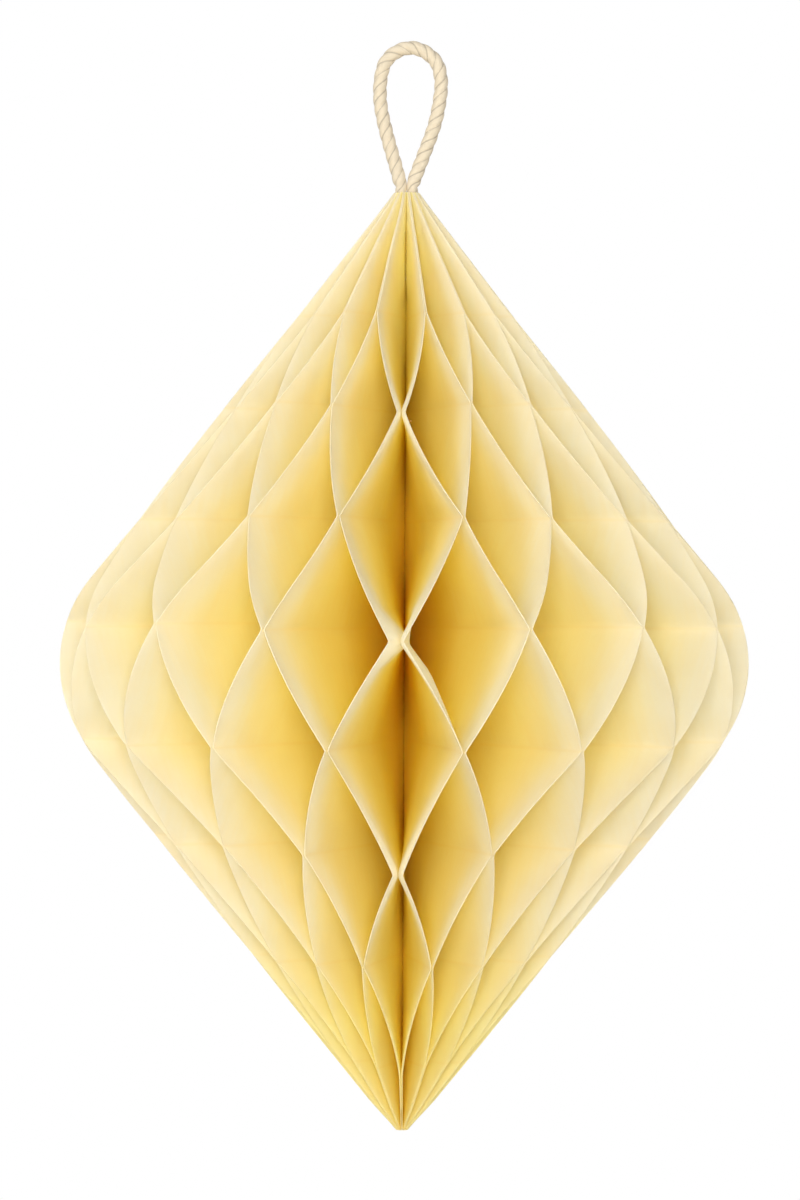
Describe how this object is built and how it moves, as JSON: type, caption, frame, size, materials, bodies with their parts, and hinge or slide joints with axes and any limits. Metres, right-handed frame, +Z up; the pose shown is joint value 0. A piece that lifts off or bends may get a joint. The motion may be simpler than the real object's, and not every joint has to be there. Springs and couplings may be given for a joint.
{
  "type": "honeycomb paper ornament",
  "caption": "Hanging honeycomb ornament: glued paper leaves fan round a spine into a rounded double cone, on a cotton cord loop, and fold flat.",
  "frame": {"origin": "inside top of the cord loop, where a hook or branch carries the ornament", "axes": "+Z up along the fan's axis, -Y to the front, with a cell square to the front and the seam behind"},
  "size_m": [0.145, 0.1448, 0.2307],
  "materials": {
    "leaf_paper": "matte",
    "cotton_cord": "twisted cotton",
    "binding_thread": "waxed thread",
    "magnet": "nickel plate"
  },
  "bodies": {
    "hanger": {"hanging_cord": "cotton_cord"},
    "spine": {"leaf_01": "leaf_paper", "cord_tails": "cotton_cord", "cord_knot": "cotton_cord", "binding_thread_upper": "binding_thread", "binding_thread_lower": "binding_thread", "closure_magnets_fixed": "magnet"},
    "fan_02": {"leaf_02": "leaf_paper"},
    "fan_03": {"leaf_03": "leaf_paper"},
    "fan_04": {"leaf_04": "leaf_paper"},
    "fan_05": {"leaf_05": "leaf_paper"},
    "fan_06": {"leaf_06": "leaf_paper"},
    "fan_07": {"leaf_07": "leaf_paper"},
    "fan_08": {"leaf_08": "leaf_paper"},
    "fan_09": {"leaf_09": "leaf_paper"},
    "fan_10": {"leaf_10": "leaf_paper"},
    "fan_11": {"leaf_11": "leaf_paper"},
    "fan_12": {"leaf_12": "leaf_paper"},
    "fan_13": {"leaf_13": "leaf_paper"},
    "fan_14": {"leaf_14": "leaf_paper"},
    "fan_15": {"leaf_15": "leaf_paper"},
    "fan_16": {"leaf_16": "leaf_paper"},
    "fan_17": {"leaf_17": "leaf_paper"},
    "fan_18": {"leaf_18": "leaf_paper"},
    "fan_19": {"leaf_19": "leaf_paper"},
    "fan_20": {"leaf_20": "leaf_paper"},
    "fan_21": {"leaf_21": "leaf_paper"},
    "fan_22": {"leaf_22": "leaf_paper"},
    "fan_23": {"leaf_23": "leaf_paper"},
    "fan_24": {"leaf_24": "leaf_paper"},
    "fan_25": {"leaf_25": "leaf_paper"},
    "fan_26": {"leaf_26": "leaf_paper"},
    "fan_27": {"leaf_27": "leaf_paper"},
    "fan_28": {"leaf_28": "leaf_paper"},
    "fan_29": {"leaf_29": "leaf_paper"},
    "fan_30": {"leaf_30": "leaf_paper"},
    "fan_31": {"leaf_31": "leaf_paper"},
    "fan_32": {"leaf_32": "leaf_paper"},
    "fan_33": {"leaf_33": "leaf_paper"},
    "fan_34": {"leaf_34": "leaf_paper", "closure_magnets_moving": "magnet"}
  },
  "joints": [
    {"name": "cord_bend", "type": "hinge", "parent": "hanger", "child": "spine", "pos_m": [0, 0, -0.029], "axis": [1, 0, 0], "range_deg": [-60, 60], "deforming": ["hanging_cord"]},
    {"name": "fold_02", "type": "hinge", "parent": "spine", "child": "fan_02", "pos_m": [0, 0, -0.13], "axis": [0, 0, 1], "range_deg": [-10.35, 0], "deforming": ["leaf_02"]},
    {"name": "fold_03", "type": "hinge", "parent": "spine", "child": "fan_03", "pos_m": [0, 0, -0.13], "axis": [0, 0, 1], "range_deg": [-20.66, 0], "deforming": ["leaf_03"]},
    {"name": "fold_04", "type": "hinge", "parent": "spine", "child": "fan_04", "pos_m": [0, 0, -0.13], "axis": [0, 0, 1], "range_deg": [-30.96, 0], "deforming": ["leaf_04"]},
    {"name": "fold_05", "type": "hinge", "parent": "spine", "child": "fan_05", "pos_m": [0, 0, -0.13], "axis": [0, 0, 1], "range_deg": [-41.26, 0], "deforming": ["leaf_05"]},
    {"name": "fold_06", "type": "hinge", "parent": "spine", "child": "fan_06", "pos_m": [0, 0, -0.13], "axis": [0, 0, 1], "range_deg": [-51.57, 0], "deforming": ["leaf_06"]},
    {"name": "fold_07", "type": "hinge", "parent": "spine", "child": "fan_07", "pos_m": [0, 0, -0.13], "axis": [0, 0, 1], "range_deg": [-61.87, 0], "deforming": ["leaf_07"]},
    {"name": "fold_08", "type": "hinge", "parent": "spine", "child": "fan_08", "pos_m": [0, 0, -0.13], "axis": [0, 0, 1], "range_deg": [-72.17, 0], "deforming": ["leaf_08"]},
    {"name": "fold_09", "type": "hinge", "parent": "spine", "child": "fan_09", "pos_m": [0, 0, -0.13], "axis": [0, 0, 1], "range_deg": [-82.47, 0], "deforming": ["leaf_09"]},
    {"name": "fold_10", "type": "hinge", "parent": "spine", "child": "fan_10", "pos_m": [0, 0, -0.13], "axis": [0, 0, 1], "range_deg": [-92.78, 0], "deforming": ["leaf_10"]},
    {"name": "fold_11", "type": "hinge", "parent": "spine", "child": "fan_11", "pos_m": [0, 0, -0.13], "axis": [0, 0, 1], "range_deg": [-103.08, 0], "deforming": ["leaf_11"]},
    {"name": "fold_12", "type": "hinge", "parent": "spine", "child": "fan_12", "pos_m": [0, 0, -0.13], "axis": [0, 0, 1], "range_deg": [-113.38, 0], "deforming": ["leaf_12"]},
    {"name": "fold_13", "type": "hinge", "parent": "spine", "child": "fan_13", "pos_m": [0, 0, -0.13], "axis": [0, 0, 1], "range_deg": [-123.69, 0], "deforming": ["leaf_13"]},
    {"name": "fold_14", "type": "hinge", "parent": "spine", "child": "fan_14", "pos_m": [0, 0, -0.13], "axis": [0, 0, 1], "range_deg": [-133.99, 0], "deforming": ["leaf_14"]},
    {"name": "fold_15", "type": "hinge", "parent": "spine", "child": "fan_15", "pos_m": [0, 0, -0.13], "axis": [0, 0, 1], "range_deg": [-144.29, 0], "deforming": ["leaf_15"]},
    {"name": "fold_16", "type": "hinge", "parent": "spine", "child": "fan_16", "pos_m": [0, 0, -0.13], "axis": [0, 0, 1], "range_deg": [-154.6, 0], "deforming": ["leaf_16"]},
    {"name": "fold_17", "type": "hinge", "parent": "spine", "child": "fan_17", "pos_m": [0, 0, -0.13], "axis": [0, 0, 1], "range_deg": [-164.9, 0], "deforming": ["leaf_17"]},
    {"name": "fold_18", "type": "hinge", "parent": "spine", "child": "fan_18", "pos_m": [0, 0, -0.13], "axis": [0, 0, 1], "range_deg": [-175.2, 0], "deforming": ["leaf_18"]},
    {"name": "fold_19", "type": "hinge", "parent": "spine", "child": "fan_19", "pos_m": [0, 0, -0.13], "axis": [0, 0, 1], "range_deg": [-185.5, 0], "deforming": ["leaf_19"]},
    {"name": "fold_20", "type": "hinge", "parent": "spine", "child": "fan_20", "pos_m": [0, 0, -0.13], "axis": [0, 0, 1], "range_deg": [-195.81, 0], "deforming": ["leaf_20"]},
    {"name": "fold_21", "type": "hinge", "parent": "spine", "child": "fan_21", "pos_m": [0, 0, -0.13], "axis": [0, 0, 1], "range_deg": [-206.11, 0], "deforming": ["leaf_21"]},
    {"name": "fold_22", "type": "hinge", "parent": "spine", "child": "fan_22", "pos_m": [0, 0, -0.13], "axis": [0, 0, 1], "range_deg": [-216.41, 0], "deforming": ["leaf_22"]},
    {"name": "fold_23", "type": "hinge", "parent": "spine", "child": "fan_23", "pos_m": [0, 0, -0.13], "axis": [0, 0, 1], "range_deg": [-226.72, 0], "deforming": ["leaf_23"]},
    {"name": "fold_24", "type": "hinge", "parent": "spine", "child": "fan_24", "pos_m": [0, 0, -0.13], "axis": [0, 0, 1], "range_deg": [-237.02, 0], "deforming": ["leaf_24"]},
    {"name": "fold_25", "type": "hinge", "parent": "spine", "child": "fan_25", "pos_m": [0, 0, -0.13], "axis": [0, 0, 1], "range_deg": [-247.32, 0], "deforming": ["leaf_25"]},
    {"name": "fold_26", "type": "hinge", "parent": "spine", "child": "fan_26", "pos_m": [0, 0, -0.13], "axis": [0, 0, 1], "range_deg": [-257.63, 0], "deforming": ["leaf_26"]},
    {"name": "fold_27", "type": "hinge", "parent": "spine", "child": "fan_27", "pos_m": [0, 0, -0.13], "axis": [0, 0, 1], "range_deg": [-267.93, 0], "deforming": ["leaf_27"]},
    {"name": "fold_28", "type": "hinge", "parent": "spine", "child": "fan_28", "pos_m": [0, 0, -0.13], "axis": [0, 0, 1], "range_deg": [-278.23, 0], "deforming": ["leaf_28"]},
    {"name": "fold_29", "type": "hinge", "parent": "spine", "child": "fan_29", "pos_m": [0, 0, -0.13], "axis": [0, 0, 1], "range_deg": [-288.53, 0], "deforming": ["leaf_29"]},
    {"name": "fold_30", "type": "hinge", "parent": "spine", "child": "fan_30", "pos_m": [0, 0, -0.13], "axis": [0, 0, 1], "range_deg": [-298.84, 0], "deforming": ["leaf_30"]},
    {"name": "fold_31", "type": "hinge", "parent": "spine", "child": "fan_31", "pos_m": [0, 0, -0.13], "axis": [0, 0, 1], "range_deg": [-309.14, 0], "deforming": ["leaf_31"]},
    {"name": "fold_32", "type": "hinge", "parent": "spine", "child": "fan_32", "pos_m": [0, 0, -0.13], "axis": [0, 0, 1], "range_deg": [-319.44, 0], "deforming": ["leaf_32"]},
    {"name": "fold_33", "type": "hinge", "parent": "spine", "child": "fan_33", "pos_m": [0, 0, -0.13], "axis": [0, 0, 1], "range_deg": [-329.75, 0], "deforming": ["leaf_33"]},
    {"name": "fold_34", "type": "hinge", "parent": "spine", "child": "fan_34", "pos_m": [0, 0, -0.13], "axis": [0, 0, 1], "range_deg": [-340, 0], "deforming": ["leaf_34", "leaf_01"]}
  ],
  "couplings": [
    {"joint": "fold_02", "follows": "fold_34", "ratio": 0.030303},
    {"joint": "fold_03", "follows": "fold_34", "ratio": 0.060606},
    {"joint": "fold_04", "follows": "fold_34", "ratio": 0.090909},
    {"joint": "fold_05", "follows": "fold_34", "ratio": 0.12121},
    {"joint": "fold_06", "follows": "fold_34", "ratio": 0.15152},
    {"joint": "fold_07", "follows": "fold_34", "ratio": 0.18182},
    {"joint": "fold_08", "follows": "fold_34", "ratio": 0.21212},
    {"joint": "fold_09", "follows": "fold_34", "ratio": 0.24242},
    {"joint": "fold_10", "follows": "fold_34", "ratio": 0.27273},
    {"joint": "fold_11", "follows": "fold_34", "ratio": 0.30303},
    {"joint": "fold_12", "follows": "fold_34", "ratio": 0.33333},
    {"joint": "fold_13", "follows": "fold_34", "ratio": 0.36364},
    {"joint": "fold_14", "follows": "fold_34", "ratio": 0.39394},
    {"joint": "fold_15", "follows": "fold_34", "ratio": 0.42424},
    {"joint": "fold_16", "follows": "fold_34", "ratio": 0.45455},
    {"joint": "fold_17", "follows": "fold_34", "ratio": 0.48485},
    {"joint": "fold_18", "follows": "fold_34", "ratio": 0.51515},
    {"joint": "fold_19", "follows": "fold_34", "ratio": 0.54545},
    {"joint": "fold_20", "follows": "fold_34", "ratio": 0.57576},
    {"joint": "fold_21", "follows": "fold_34", "ratio": 0.60606},
    {"joint": "fold_22", "follows": "fold_34", "ratio": 0.63636},
    {"joint": "fold_23", "follows": "fold_34", "ratio": 0.66667},
    {"joint": "fold_24", "follows": "fold_34", "ratio": 0.69697},
    {"joint": "fold_25", "follows": "fold_34", "ratio": 0.72727},
    {"joint": "fold_26", "follows": "fold_34", "ratio": 0.75758},
    {"joint": "fold_27", "follows": "fold_34", "ratio": 0.78788},
    {"joint": "fold_28", "follows": "fold_34", "ratio": 0.81818},
    {"joint": "fold_29", "follows": "fold_34", "ratio": 0.84848},
    {"joint": "fold_30", "follows": "fold_34", "ratio": 0.87879},
    {"joint": "fold_31", "follows": "fold_34", "ratio": 0.90909},
    {"joint": "fold_32", "follows": "fold_34", "ratio": 0.93939},
    {"joint": "fold_33", "follows": "fold_34", "ratio": 0.9697}
  ]
}
